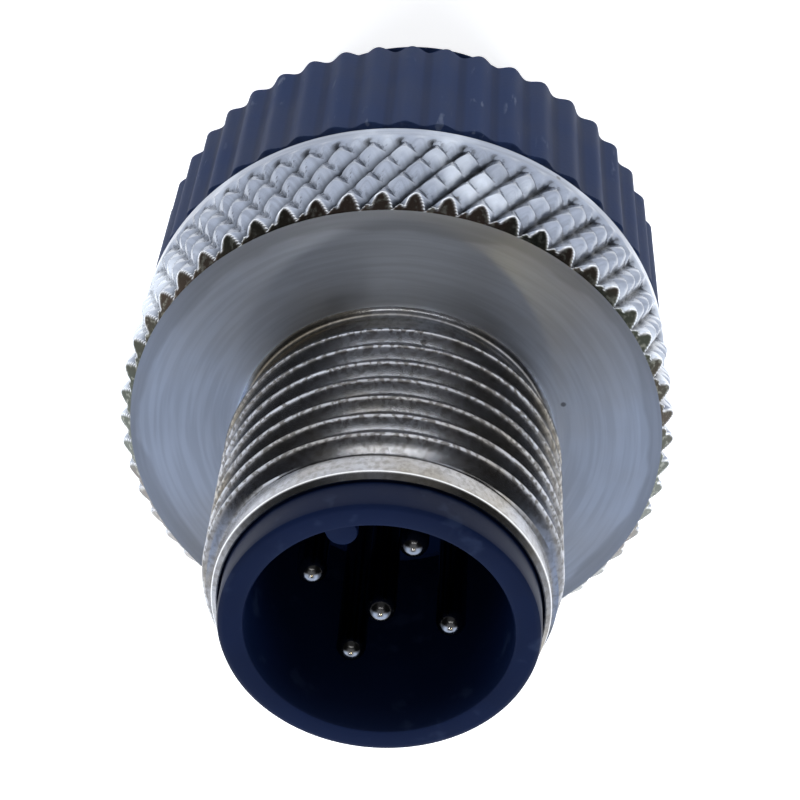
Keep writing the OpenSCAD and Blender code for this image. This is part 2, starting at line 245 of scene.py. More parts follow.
cool, warm, daylight = (0.94, 0.97, 1.0), (1.0, 0.80, 0.42), (0.96, 0.98, 1.0)
soft_box("lamp_left", -0.16, -0.14, 0.17, size=0.14, power=0.38, colour=cool)
soft_box("lamp_right", 0.16, -0.14, 0.17, size=0.14, power=0.33, colour=cool)
soft_box("spot_white", 0.016, -0.105, 0.28, size=0.016, power=0.018, colour=white, mirrored=True)
soft_box("spot_warm", -0.030, -0.105, 0.28, size=0.014, power=0.012, colour=warm, mirrored=True)
soft_box("lamp_top", 0.0, 0.01, 0.30, size=0.05, power=0.32, colour=cool)
soft_box("lamp_front", 0.0, 0.24, 0.02, size=0.05, power=0.12, colour=cool)
soft_box("spot_front", 0.0, 0.12, 0.225, size=0.02, power=0.045, colour=daylight, wide=7.0, mirrored=True)

# The table takes the plug's shadow and gives most of its white only to the rays that show it
table_reach, table_drop = 2.0, 0.02
table_white, table_glow, table_glow_share = (0.80, 0.80, 0.80, 1.0), 0.95, 0.85
corners = [(x * table_reach, y * table_reach, 0) for x, y in ((-1, -1), (1, -1), (1, 1), (-1, 1))]
table = bpy.data.meshes.new("table")
table.from_pydata(corners, [], [(0, 1, 2, 3)])
table_top = bpy.data.objects.new("table_top", table)
table_top.location.z = -table_drop * MM
bpy.context.scene.collection.objects.link(table_top)
pale, top = new_material("pale_table")
lit = top.node("ShaderNodeBsdfDiffuse")
lit.inputs["Color"].default_value = table_white
glow = top.node("ShaderNodeEmission")
glow.inputs["Color"].default_value = (*white, 1.0)
glow.inputs["Strength"].default_value = table_glow
lit_and_glowing = top.node("ShaderNodeAddShader")
top.feed(lit_and_glowing.inputs[0], lit.outputs[0])
top.feed(lit_and_glowing.inputs[1], glow.outputs[0])
surface = top.node("ShaderNodeMixShader")
top.feed(surface.inputs[0], top.mul(seen_share(top), table_glow_share))
top.feed(surface.inputs[1], lit.outputs[0])
top.feed(surface.inputs[2], lit_and_glowing.outputs[0])
top.end_with(surface)
table.materials.append(pale)

# ---- locking ring -----------------------------------------------------------
# Nickel-plated brass, turned from bar: a threaded barrel that screws into the socket and
# a flat-faced head. The head's rim is rolled with a diamond knurl and then chamfered.
ring_z, knurl_z, flange_z, ring_front_z = 14.87, 15.4, 20.1, 29.4
skirt_r, web_z, head_bore_r, edge_break = 8.5, 16.97, 5.3, 0.08
knurl_r, band_r, face_r, knurl_teeth = 10.045, 9.95, 9.6, 55
stub_z, stub_r = 16.96, 5.45
crest_r, root_r, bore_r, mouth_r = 6.0, 5.5, 5.03, 5.34
thread_pitch, first_groove_z, groove_width = 1.0, 21.118, 0.94
thread_start_z, thread_end_z, land_r = 21.0, 28.30, 5.56
relief_fillet, nose_chamfer, mouth_depth = 0.34, 0.18, 0.36
tooth_columns, barrel_columns = 14, 240


def cut_rows(radius, low_z, high_z, count, closed=False):
    """Rows for a tree to cut, evenly spaced from low_z on, with the one at high_z if closed."""
    return [(radius, low_z + (high_z - low_z) * row / count, 1) for row in range(count + closed)]


def turned_blank(name, outline, columns):
    """A closed turned body: quads round the Z axis from an outline of (radius, height, cut),
    listed upwards on the outside. The first and last column lie on each other, and carry
    the turn from 0 to 1 that a tree needs to cut a helix."""
    points, turns, cuts = [], [], []
    for radius, height, cut in outline:
        for column in range(columns + 1):
            angle = 2 * math.pi * column / columns
            points.append((radius * math.cos(angle) * MM, radius * math.sin(angle) * MM, height * MM))
            turns.append(column / columns)
            cuts.append(cut)
    row_length = columns + 1
    faces = []
    for row in range(len(outline)):
        here, there = row * row_length, (row + 1) % len(outline) * row_length
        for column in range(columns):
            faces.append((here + column, here + column + 1, there + column + 1, there + column))
    mesh = bpy.data.meshes.new(name)
    mesh.from_pydata(points, [], faces)
    mesh.attributes.new("around", "FLOAT", "POINT").data.foreach_set("value", turns)
    mesh.attributes.new("cut", "FLOAT", "POINT").data.foreach_set("value", cuts)
    made = bpy.data.objects.new(name, mesh)
    bpy.context.scene.collection.objects.link(made)
    return made


def new_tree(name, sizes):
    """A geometry tree with named inputs for its sizes. Returns it, its wires and its inputs."""
    tree = bpy.data.node_groups.new(name, "GeometryNodeTree")
    tree.interface.new_socket("Geometry", in_out="OUTPUT", socket_type="NodeSocketGeometry")
    tree.interface.new_socket("Geometry", in_out="INPUT", socket_type="NodeSocketGeometry")
    for label in sizes:
        tree.interface.new_socket(label, in_out="INPUT", socket_type="NodeSocketFloat")
    tree.interface.new_socket("Finish", in_out="INPUT", socket_type="NodeSocketMaterial")
    wires = Wires(tree)
    return tree, wires, wires.node("NodeGroupInput").outputs


def read(wires, name):
    """A number stored on the blank's points."""
    made = wires.node("GeometryNodeInputNamedAttribute", data_type="FLOAT")
    made.inputs["Name"].default_value = name
    return made.outputs["Attribute"]


def blank_points(wires):
    """The radius, height, share of a turn and cut of a blank's points."""
    x, y, z = wires.split(wires.node("GeometryNodeInputPosition").outputs[0])
    return wires.from_axis(x, y), z, read(wires, "around"), read(wires, "cut")


def keep(wires, geometry, name, value):
    """Stores a number on the points, for the material to read."""
    made = wires.node("GeometryNodeStoreNamedAttribute", data_type="FLOAT", domain="POINT")
    wires.feed(made.inputs["Geometry"], geometry)
    made.inputs["Name"].default_value = name
    wires.feed(made.inputs["Value"], value)
    return made.outputs["Geometry"]


def place_round(wires, geometry, radius, turn, height, finish):
    """Moves the points to radius, turn and height, closes the seam and ends the tree."""
    angle = wires.mul(turn, 2 * math.pi)
    move = wires.node("GeometryNodeSetPosition")
    wires.feed(move.inputs["Geometry"], geometry)
    wires.feed(move.inputs["Position"], wires.vector(wires.mul(radius, wires.math("COSINE", angle)),
                                                     wires.mul(radius, wires.math("SINE", angle)), height))
    weld = wires.node("GeometryNodeMergeByDistance")
    wires.feed(weld.inputs["Geometry"], move.outputs["Geometry"])
    weld.inputs["Distance"].default_value = 0.002 * MM
    real = wires.node("GeometryNodeRealizeInstances")
    wires.feed(real.inputs["Geometry"], weld.outputs["Geometry"])
    coat = wires.node("GeometryNodeSetMaterial")
    wires.feed(coat.inputs["Geometry"], real.outputs["Geometry"])
    wires.feed(coat.inputs["Material"], finish)
    wires.feed(wires.node("NodeGroupOutput").inputs["Geometry"], coat.outputs["Geometry"])


def mark_edges(mesh, sharp):
    """Smooth shading, with the edges that turn by more than sharp degrees left hard."""
    mesh.polygons.foreach_set("use_smooth", [True] * len(mesh.polygons))
    mesh.set_sharp_from_angle(angle=math.radians(sharp))


def cut_with(blank, tree, finish, lengths=None, counts=None, sharp=32):
    """Runs a tree on a blank, with its lengths given in millimetres, and turns the result into
    a plain mesh that keeps the finish."""
    sizes = {label: value * MM for label, value in (lengths or {}).items()} | (counts or {})
    modifier = blank.modifiers.new(tree.name, "NODES")
    modifier.node_group = tree
    for item in tree.interface.items_tree:
        if item.in_out == "INPUT" and item.name in sizes:
            modifier[item.identifier] = float(sizes[item.name])
        if item.in_out == "INPUT" and item.name == "Finish":
            modifier[item.identifier] = finish
    bpy.context.view_layer.update()
    done = bpy.data.meshes.new_from_object(blank.evaluated_get(bpy.context.evaluated_depsgraph_get()))
    blank.modifiers.remove(modifier)
    blank.data = done
    if not done.materials:
        done.materials.append(finish)
    mark_edges(done, sharp)


def make_lathe_marks():
    """The group of marks on plated metal: the fine rings that a lathe tool leaves, streaks
    along them, faint stains, specks, and clouds and crumbs that break up other marks."""
    group = bpy.data.node_groups.new("lathe_marks", "ShaderNodeTree")
    for label in ("Fineness", "Stain size"):
        group.interface.new_socket(label, in_out="INPUT", socket_type="NodeSocketFloat")
    for label in ("Rings", "Streaks", "Stain", "Speck", "Wander", "Crumbs", "Radius"):
        group.interface.new_socket(label, in_out="OUTPUT", socket_type="NodeSocketFloat")
    mark = Wires(group)
    given = mark.node("NodeGroupInput").outputs
    result = mark.node("NodeGroupOutput").inputs
    spot = mark.node("ShaderNodeTexCoord").outputs["Object"]
    x, y, z = mark.split(spot)
    radius = mark.from_axis(x, y)
    angle = mark.math("ARCTAN2", y, x)

    def arcs(round_scale, across_scale, detail):
        """Noise that is long round the axis and narrow across it."""
        at = mark.vector(mark.mul(mark.add(radius, z), across_scale),
                         mark.mul(mark.math("COSINE", angle), round_scale),
                         mark.mul(mark.math("SINE", angle), round_scale))
        return mark.noise(at, 1.0, detail)

    dots = mark.node("ShaderNodeTexVoronoi", feature="F1")
    mark.feed(dots.inputs["Vector"], spot)
    dots.inputs["Scale"].default_value = 420.0
    mark.feed(result["Rings"], arcs(0.6, given["Fineness"], 0.0))
    mark.feed(result["Streaks"], arcs(2.2, 5200.0, 2.0))
    mark.feed(result["Stain"], mark.ramp(mark.noise(spot, given["Stain size"], 4.0), 0.42, 0.68))
    mark.feed(result["Speck"], mark.ramp(dots.outputs["Distance"], 0.03, 0.055, 1.0, 0.0))
    mark.feed(result["Wander"], mark.noise(spot, 190.0, 3.0))
    mark.feed(result["Crumbs"], mark.noise(spot, 5200.0, 2.0))
    mark.feed(result["Radius"], radius)
    return group


lathe_marks = make_lathe_marks()


def nickel(name, colour, stain_colour, *, stain_share, roughness, ring_depth, streak=0.80, brushed=0.0,
           layers=()):
    """Nickel plate with lathe rings, streaks, stains and specks. streak is how bright its darker
    streaks are, and brushed is how far the lathe rings draw out a reflection. Each of layers is
    a function of the wires, the marks and the colour so far, which gives the next colour."""
    ring_fineness, stain_size, speck_share, speck_colour = 9000.0, 260.0, 0.7, (0.05, 0.045, 0.04)
    made, paint = new_material(name)
    metal = paint.node("ShaderNodeBsdfPrincipled")
    metal.inputs["Metallic"].default_value = 1.0
    group = paint.node("ShaderNodeGroup", node_tree=lathe_marks)
    group.inputs["Fineness"].default_value = ring_fineness
    group.inputs["Stain size"].default_value = stain_size
    marks = group.outputs
    base = paint.blend(paint.ramp(marks["Streaks"], 0.35, 0.65), tuple(c * streak for c in colour), colour)
    base = paint.blend(paint.mul(marks["Stain"], stain_share), base, stain_colour)
    for layer in layers:
        base = layer(paint, marks, base)
    base = paint.blend(paint.mul(marks["Speck"], speck_share), base, speck_colour)
    paint.feed(metal.inputs["Base Color"], base)
    paint.feed(metal.inputs["Roughness"],
               paint.ramp(marks["Wander"], 0.3, 0.7, roughness * 0.9, roughness * 1.15))
    paint.feed(metal.inputs["Normal"], paint.bump(marks["Rings"], ring_depth * MM))
    if brushed:
        metal.inputs["Anisotropic"].default_value = brushed
        metal.inputs["Anisotropic Rotation"].default_value = 0.25
        tangent = paint.node("ShaderNodeTangent", direction_type="RADIAL", axis="Z")
        paint.feed(metal.inputs["Tangent"], tangent.outputs[0])
    paint.end_with(metal)
    return made


def clouded(tint, share):
    """A layer of cloudy patches."""
    def lay(paint, marks, base):
        return paint.blend(paint.ramp(marks["Wander"], 0.42, 0.60, 0.0, share), base, tint)
    return lay


def grainy(tint, share):
    """A layer of fine dark grain."""
    def lay(paint, marks, base):
        return paint.blend(paint.mul(paint.ramp(marks["Crumbs"], 0.40, 0.68), share), base, tint)
    return lay


def marked(label, tint, share, broken=False):
    """A layer of tint where the mesh's own number of that label is 1, in crumbs if broken."""
    def lay(paint, marks, base):
        mask = paint.node("ShaderNodeAttribute", attribute_name=label).outputs["Fac"]
        if broken:
            mask = paint.mul(mask, paint.ramp(marks["Crumbs"], 0.47, 0.57))
        return paint.blend(paint.mul(mask, share), base, tint)
    return lay


def rough_chamfer(paint, marks, base):
    """The knurl's chamfer: brown and green clouds under pale crumbs of torn plate."""
    mask = paint.node("ShaderNodeAttribute", attribute_name="chamfer").outputs["Fac"]
    green, brown, torn = (0.070, 0.080, 0.064), (0.085, 0.064, 0.052), (0.42, 0.43, 0.38)
    tint = paint.blend(paint.ramp(marks["Wander"], 0.42, 0.58), green, brown)
    tint = paint.blend(paint.mul(paint.ramp(marks["Crumbs"], 0.52, 0.68), 0.45), tint, torn)
    return paint.blend(mask, base, tint)


def tarnished_rim(paint, marks, base):
    """The flange face's grey tarnish, from a wandering line near its rim outwards."""
    rim_r, edge_blur, wander, share, tarnish = 9.05, 0.10, 1.6, 0.45, (0.27, 0.27, 0.28)
    edge = paint.add(marks["Radius"], paint.mul(paint.sub(marks["Wander"], 0.5), wander * MM))
    outside = paint.ramp(edge, (rim_r - edge_blur) * MM, (rim_r + edge_blur) * MM)
    return paint.blend(paint.mul(outside, share), base, tarnish)


face_nickel = nickel(
    "face_nickel", (0.58, 0.61, 0.66), (0.46, 0.42, 0.37), stain_share=0.25, roughness=0.40,
    ring_depth=0.0005, streak=0.88, brushed=0.85, layers=(tarnished_rim,))
knurl_nickel = nickel(
    "knurl_nickel", (0.24, 0.265, 0.32), (0.62, 0.66, 0.72), stain_share=0.75, roughness=0.24,
    ring_depth=0.0, layers=(
        # painted shade in the knurl's grooves, darker the deeper they are cut
        marked("painted_groove_shade", (0.022, 0.025, 0.030), 0.97),
        rough_chamfer,
        # painted highlight along the edge where the chamfer cuts the knurl
        marked("edge_highlight", (0.80, 0.82, 0.86), 1.0)))
thread_nickel = nickel(
    "thread_nickel", (0.44, 0.455, 0.50), (0.28, 0.24, 0.17), stain_share=0.8, roughness=0.22,
    ring_depth=0.001, layers=(
        clouded((0.098, 0.084, 0.0595), 0.32),
        grainy((0.084, 0.072, 0.051), 0.35),
        marked("crest", (0.10, 0.095, 0.09), 0.85, broken=True),
        # painted highlight along the nose's broken edge
        marked("edge_highlight", (0.84, 0.84, 0.84), 0.9)))


def groove_shape(wires, phase, flat):
    """0 on a tooth's crest and 1 in the groove between two. flat is the share that stays level."""
    clear_of_zero, curve = 64, 1.35
    off = wires.sub(wires.math("FRACT", wires.add(phase, clear_of_zero + 0.5)), 0.5)
    past = wires.div(wires.sub(wires.absolute(wires.mul(off, 2.0)), flat), 1.0 - flat)
    return wires.math("POWER", wires.high(past, 0.0), curve)


def make_diamond_knurl():
    """A deep set of grooves one way and a shallow set the other, cut off by the chamfer."""
    tree, w, sizes = new_tree("diamond_knurl", (
        "Crest radius", "Band radius", "Start", "End", "Count", "Lean", "Deep", "Shallow",
        "Chamfer radius", "Chamfer height", "Run-in"))
    bulge_depth, edge_highlight_width, groove_shade_start = 0.05 * MM, 0.05 * MM, 0.12 * MM
    radius, height, turn, cut = blank_points(w)
    start, end, teeth = sizes["Start"], sizes["End"], sizes["Count"]
    climbed = w.div(w.sub(w.high(w.low(height, end), start), start), w.sub(sizes["Chamfer height"], start))
    lean = w.mul(climbed, sizes["Lean"])
    tooth = w.mul(turn, teeth)
    other_tooth = w.add(tooth, w.mul(lean, 2.0))
    uneven = w.ramp(w.noise(None, 700.0), 0.3, 0.7, 0.80, 1.05)
    deep = w.mul(groove_shape(w, tooth, 0.10), w.mul(sizes["Deep"], uneven))
    shallow = w.mul(groove_shape(w, other_tooth, 0.08), w.mul(sizes["Shallow"], uneven))
    bulge = w.mul(w.math("POWER", groove_shape(w, other_tooth, 0.0), 2.0), bulge_depth)
    rolled = w.sub(sizes["Crest radius"], w.add(w.high(deep, shallow), bulge))
    run_in = w.ramp(height, start, w.add(start, sizes["Run-in"]))
    rim = w.between(run_in, sizes["Band radius"], rolled)
    cone = w.add(sizes["Chamfer radius"], w.sub(end, height))
    chamfered = w.math("LESS_THAN", cone, w.add(rim, 0.001 * MM))
    # Painted highlight: a thin line where the chamfer cuts the knurl's crests
    edge_highlight = w.ramp(w.absolute(w.sub(cone, rim)), 0.0, edge_highlight_width, 1.0, 0.0)
    # Painted shade: a number that grows with the depth of the grooves, for the material to darken them
    painted_groove_shade = w.mul(run_in, w.ramp(w.high(deep, w.mul(shallow, 0.9)), groove_shade_start, sizes["Deep"]))
    kept = sizes["Geometry"]
    for label, value in (("chamfer", chamfered), ("edge_highlight", edge_highlight), ("painted_groove_shade", painted_groove_shade)):
        kept = keep(w, kept, label, w.mul(cut, value))
    place_round(w, kept, w.between(cut, radius, w.low(rim, cone)), w.div(w.add(tooth, lean), teeth), height,
                sizes["Finish"])
    return tree


chamfer_foot_z = flange_z - (knurl_r - face_r)
head_outline = [(skirt_r, ring_z, 0), (band_r - edge_break, ring_z, 0),
                (band_r, ring_z + edge_break, 0), (band_r, knurl_z - 0.04, 0)]
head_outline += cut_rows(band_r, knurl_z, chamfer_foot_z, 52)
head_outline += cut_rows(band_r, chamfer_foot_z, flange_z, 18, closed=True)
head_outline += [(head_bore_r, flange_z, 0), (head_bore_r, web_z, 0), (skirt_r, web_z, 0)]
head = turned_blank("locking_ring_turned", head_outline, knurl_teeth * tooth_columns)
cut_with(head, make_diamond_knurl(), knurl_nickel, {
    "Crest radius": knurl_r, "Band radius": band_r, "Start": knurl_z, "End": flange_z, "Deep": 0.44,
    "Shallow": 0.30, "Chamfer radius": face_r, "Chamfer height": chamfer_foot_z, "Run-in": 0.45,
}, {"Count": knurl_teeth, "Lean": 2.0})


def make_screw_thread():
    """Rows that climb one pitch a turn, cut to a V groove, with a relief behind the thread."""
    tree, w, sizes = new_tree("screw_thread", (
        "Crest radius", "Root radius", "Pitch", "First groove", "Groove width", "Start", "End",
        "Root flat", "Nose edge"))
    clear_of_zero, flank_curve = 16, 1.5
    crest_low, crest_high, edge_highlight_width = 0.14 * MM, 0.02 * MM, 0.045 * MM
    radius, level_z, turn, cut = blank_points(w)
    crest, root, pitch = sizes["Crest radius"], sizes["Root radius"], sizes["Pitch"]
    climbed = w.low(w.high(w.add(level_z, w.mul(turn, pitch)), sizes["Start"]), sizes["End"])
    height = w.between(cut, level_z, climbed)
    above_groove = w.sub(height, sizes["First groove"])
    phase = w.sub(w.div(above_groove, pitch), turn)
    off = w.absolute(w.sub(w.math("FRACT", w.add(phase, clear_of_zero + 0.5)), 0.5))
    past_flat = w.sub(w.mul(off, pitch), sizes["Root flat"])
    flank_width = w.sub(w.mul(sizes["Groove width"], 0.5), sizes["Root flat"])
    up_flank = w.low(1.0, w.high(0.0, w.div(past_flat, flank_width)))
    rounded = w.sub(1.0, w.math("POWER", w.sub(1.0, up_flank), flank_curve))
    relief = w.add(root, w.high(0.0, above_groove))
    turned = w.low(w.between(rounded, root, crest), relief)
    on_crest = w.ramp(turned, w.sub(crest, crest_low), w.sub(crest, crest_high))
    # Painted highlight: a thin line round the nose's broken edge
    edge_highlight = w.ramp(w.absolute(w.sub(level_z, sizes["Nose edge"])), 0.0, edge_highlight_width, 1.0, 0.0)
    kept = keep(w, sizes["Geometry"], "crest", w.mul(cut, on_crest))
    kept = keep(w, kept, "edge_highlight", edge_highlight)
    place_round(w, kept, w.between(cut, radius, turned), turn, height, sizes["Finish"])
    return tree


barrel_outline = [(bore_r, stub_z, 0), (stub_r, stub_z, 0), (stub_r, flange_z + 0.02, 0)]
for step in range(9):
    slope = math.pi / 2 * step / 8
    barrel_outline.append((root_r + relief_fillet * (1 - math.sin(slope)),
                           flange_z + 0.004 + relief_fillet * (1 - math.cos(slope)), 0))
barrel_outline += [(root_r, thread_start_z - 0.3, 0), (root_r, thread_start_z - 0.05, 0)]
# The rows of one pitch, from the middle of a groove to the next, lie closest round the crest
row_places = (0.0, 0.05, 0.15, 0.25, 0.33, 0.39, 0.44, 0.5, 0.56, 0.61, 0.67, 0.75, 0.85, 0.95)
first_turn_z = first_groove_z - 2 * thread_pitch
for turn_number in range(int((thread_end_z - first_turn_z) / thread_pitch) + 1):
    for place in row_places:
        row_z = first_turn_z + (turn_number + place) * thread_pitch
        if row_z < thread_end_z - 0.01:
            barrel_outline.append((root_r, row_z, 1))
# A plain land, a softly broken nose edge and a funnelled mouth
nose_edge_z = ring_front_z - nose_chamfer
barrel_outline += [(root_r, thread_end_z, 1), (land_r + 0.03, thread_end_z + 0.10, 0),
                   (land_r, thread_end_z + 0.13, 0), (land_r, nose_edge_z - 0.05, 0),
                   (land_r, nose_edge_z - 0.015, 0), (land_r - 0.015, nose_edge_z + 0.02, 0),
                   (land_r - 0.05, nose_edge_z + 0.055, 0), (land_r - nose_chamfer, ring_front_z, 0),
                   (mouth_r, ring_front_z, 0), (bore_r + 0.04, ring_front_z - mouth_depth, 0),
                   (bore_r, ring_front_z - mouth_depth - 0.06, 0)]
barrel = turned_blank("locking_ring_barrel", barrel_outline, barrel_columns)
cut_with(barrel, make_screw_thread(), thread_nickel, {
    "Crest radius": crest_r, "Root radius": root_r, "Pitch": thread_pitch, "First groove": first_groove_z,
    "Groove width": groove_width, "Start": thread_start_z, "End": thread_end_z, "Root flat": 0.05,
    "Nose edge": nose_edge_z,
}, sharp=34)


def join_into(piece, added):
    """Makes one mesh of two pieces, each keeping its own finish."""
    both = [piece, added]
    with bpy.context.temp_override(active_object=piece, object=piece, selected_objects=both,
                                   selected_editable_objects=both):
        bpy.ops.object.join()


join_into(head, barrel)
head.data.materials.append(face_nickel)
face_slot = len(head.data.materials) - 1
for polygon in head.data.polygons:
    centre = polygon.center
    flat = polygon.normal.z > 0.98 and abs(centre.z - flange_z * MM) < 0.05 * MM
    if flat and math.hypot(centre.x, centre.y) < (face_r + 0.05) * MM:
        polygon.material_index = face_slot
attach(head, "ring")
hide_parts("locking_ring")

# ---- contact insert ---------------------------------------------------------
# Dark blue-black moulded plastic: a round sleeve with a thick rim, a floor that holds the
# contacts, and a rounded key down the inside that sets the way the plug goes in.
rim_z, insert_z, floor_z = 30.5, 15.17, 21.5
sleeve_r, lip_r, cavity_r, insert_columns = 4.95, 5.25, 4.35, 160
key_half, key_back_y, key_nose_y, key_top_z, key_sunk = 0.525, 4.6, 3.475, 29.5, 0.3


def moulded(name, colour, worn_colour, *, roughness, grain, wear=0.25, gloss=0.22, ribbed=False,
            hollow=None):
    """Moulded plastic or rubber with a fine grain, slight tone changes and pale scuffs. On a
    ribbed piece the valleys are darkened with painted shade and the scuffs lie along the ridges.
    hollow is the radius and height inside which painted shade makes the moulding a little darker."""
    valley_shade_colour, hollow_shade_colour, hollow_shade_share = (0.006, 0.010, 0.028), (0.0010, 0.0030, 0.013), 0.15
    made, paint = new_material(name)
    plastic = paint.node("ShaderNodeBsdfPrincipled")
    spot = paint.node("ShaderNodeTexCoord").outputs["Object"]
    x, y, z = paint.split(spot)
    tone = paint.noise(spot, 320.0, 5.0)
    stretched = paint.vector(x, y, paint.mul(z, 0.28 if ribbed else 1.0))
    scuffs = paint.noise(stretched, 2600.0 if ribbed else 900.0, 3.0)
    scuffed = paint.mul(paint.ramp(scuffs, 0.60, 0.72), wear)
    shaded = paint.blend(paint.ramp(tone, 0.3, 0.7), tuple(c * 0.9 for c in colour),
                         tuple(c * 1.12 for c in colour))
    if ribbed:
        valley = paint.node("ShaderNodeAttribute", attribute_name="valley").outputs["Fac"]
        on_ridges = paint.mul(paint.ramp(tone, 0.48, 0.62), paint.ramp(valley, 0.15, 0.6, 1.0, 0.0))
        scuffed = paint.mul(scuffed, on_ridges)
        # Painted shade: the deepest part of each valley is darkened
        shaded = paint.blend(paint.ramp(valley, 0.72, 1.0, 0.0, 0.40), shaded, valley_shade_colour)
    shaded = paint.blend(scuffed, shaded, worn_colour)
    if hollow:
        # Painted shade: the moulding darkens inside the hollow, below its mouth
        hollow_r, hollow_z = hollow
        inside = paint.mul(
            paint.ramp(paint.from_axis(x, y), (hollow_r - 0.02) * MM, (hollow_r + 0.06) * MM, 1.0, 0.0),
            paint.ramp(z, (hollow_z - 0.5) * MM, hollow_z * MM, 1.0, 0.0))
        shaded = paint.blend(paint.mul(inside, hollow_shade_share), shaded, hollow_shade_colour)
    paint.feed(plastic.inputs["Base Color"], shaded)
    plastic.inputs["Specular IOR Level"].default_value = gloss
    paint.feed(plastic.inputs["Roughness"], paint.ramp(tone, 0.3, 0.7, roughness - 0.05, roughness + 0.05))
    paint.feed(plastic.inputs["Normal"], paint.bump(paint.noise(spot, 9000.0), grain * MM, 0.6))
    paint.end_with(plastic)
    return made


insert_plastic = moulded("insert_plastic", (0.0025, 0.0068, 0.027), (0.03, 0.045, 0.09), roughness=0.5,
                         grain=0.004, gloss=0.12, hollow=(cavity_r, rim_z - 0.1))


def make_plain_turning():
    """Leaves the outline as it is and closes the seam."""
    tree, w, sizes = new_tree("plain_turning", ())
    radius, height, turn, _ = blank_points(w)
    place_round(w, sizes["Geometry"], radius, turn, height, sizes["Finish"])
    return tree


def make_key():
    """The key: a rail with a round nose, let down into the floor, its top edge softened."""
    shape = [(key_half, key_back_y), (-key_half, key_back_y)]
    for step in range(17):
        angle = math.pi + math.pi * step / 16
        shape.append((key_half * math.cos(angle), key_nose_y + key_half * math.sin(angle)))
    levels = ((floor_z - key_sunk, 0.0), (key_top_z - 0.12, 0.0), (key_top_z - 0.04, 0.03),
              (key_top_z, 0.10))
    rail = bmesh.new()
    loops = []
    for height, inward in levels:
        narrower = (key_half - inward) / key_half
        loops.append([rail.verts.new((x * narrower * MM, (y + (inward if y < key_nose_y else 0)) * MM,
                                      height * MM)) for x, y in shape])
    for lower, upper in zip(loops, loops[1:]):
        for i in range(len(shape)):
            j = (i + 1) % len(shape)
            rail.faces.new((lower[i], lower[j], upper[j], upper[i]))
    rail.faces.new(loops[-1])
    rail.faces.new(list(reversed(loops[0])))
    bmesh.ops.recalc_face_normals(rail, faces=rail.faces)
    mesh = bpy.data.meshes.new("key")
    rail.to_mesh(mesh)
    rail.free()
    mesh.materials.append(insert_plastic)
    mark_edges(mesh, 35)
    key = bpy.data.objects.new("key", mesh)
    bpy.context.scene.collection.objects.link(key)
    return key


insert_outline = [(0, insert_z, 0), (sleeve_r, insert_z, 0), (sleeve_r, ring_front_z - 0.6, 0),
                  (lip_r, ring_front_z - 0.3, 0), (lip_r, rim_z - 0.20, 0), (lip_r - 0.05, rim_z - 0.08, 0),
                  (lip_r - 0.15, rim_z - 0.01, 0), (lip_r - 0.25, rim_z, 0), (cavity_r + 0.14, rim_z, 0),
                  (cavity_r + 0.05, rim_z - 0.03, 0), (cavity_r, rim_z - 0.12, 0),
                  (cavity_r, floor_z + 0.1, 0), (cavity_r - 0.1, floor_z, 0), (0, floor_z, 0)]
insert = turned_blank("contact_insert_moulded", insert_outline, insert_columns)
cut_with(insert, make_plain_turning(), insert_plastic)
join_into(insert, make_key())
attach(insert, "plug_core")
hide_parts("contact_insert")

# ---- contacts and terminal screws -------------------------------------------
# Five turned and plated brass pins with rounded tips. Behind the insert each ends in a
# barrel that takes a stripped wire under a small slotted screw.


def pin_side_shade(paint, marks, base):
    """Painted shade on a contact: bare on top, and dark down its sides, where its normal turns away from
    up.
    """
    upward = paint.split(paint.node("ShaderNodeTexCoord").outputs["Normal"])[2]
    return paint.blend(paint.ramp(upward, 0.82, 0.95, 0.88, 0.0), base, (0.035, 0.034, 0.033))


# The contacts carry painted shade down their sides
contact_plate = nickel("contact_plate", (0.50, 0.49, 0.48), (0.40, 0.36, 0.29), stain_share=0.2,
                       roughness=0.16, ring_depth=0.0003, layers=(pin_side_shade,))
screw_steel = nickel("screw_steel", (0.55, 0.56, 0.58), (0.32, 0.30, 0.27), stain_share=0.3,
                     roughness=0.32, ring_depth=0.002)


def finish_node(name, material):
    """Gives a solid of the frame its finish and leaves its shape alone."""
    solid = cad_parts[name]
    solid.data.materials.clear()
    solid.data.materials.append(material)


for number in range(1, 6):
    finish_node(f"contact_pin_{number}", contact_plate)
    finish_node(f"terminal_screw_{number}", screw_steel)

# ---- terminal block and its seal --------------------------------------------
# A moulded block pushed onto the insert's neck. It traps the ring, holds the contact
# barrels, and a rubber ring in its groove seals it to the housing.
block_plastic = moulded("block_plastic", (0.030, 0.031, 0.036), (0.09, 0.09, 0.10), roughness=0.55,
                        grain=0.006)
seal_rubber = moulded("seal_rubber", (0.016, 0.016, 0.017), (0.05, 0.05, 0.05), roughness=0.72,
                      grain=0.01, wear=0.4)
finish_node("terminal_block", block_plastic)
finish_node("body_seal", seal_rubber)

# ---- housing ----------------------------------------------------------------
# Dark blue moulded plastic that screws onto the terminal block. Narrow rounded ribs run
# along the grip, and a cone narrows it to the thread that carries the gland nut.
grip_z, grip_top_z, housing_r, collar_r, housing_ribs = 8.2, 14.57, 9.92, 9.42, 47
rib_depth, rib_set_back, rib_end_height = 0.26, 0.30, 0.60
tail_z, tail_bore_r, tail_r, cone_z, cone_r = 1.95, 4.4, 5.6, 5.3, 7.3
housing_web_z, housing_web_top_z, web_hole_r = 5.6, 6.3, 3.18
chamber_r, chamber_top_z, thread_bore_r, thread_top_z, counterbore_r = 7.2, 11.0, 7.58, 13.32, 7.82
housing_plastic = moulded("housing_plastic", (0.0165, 0.031, 0.086), (0.16, 0.19, 0.27), roughness=0.66,
                          grain=0.012, wear=0.6, gloss=0.15, ribbed=True)


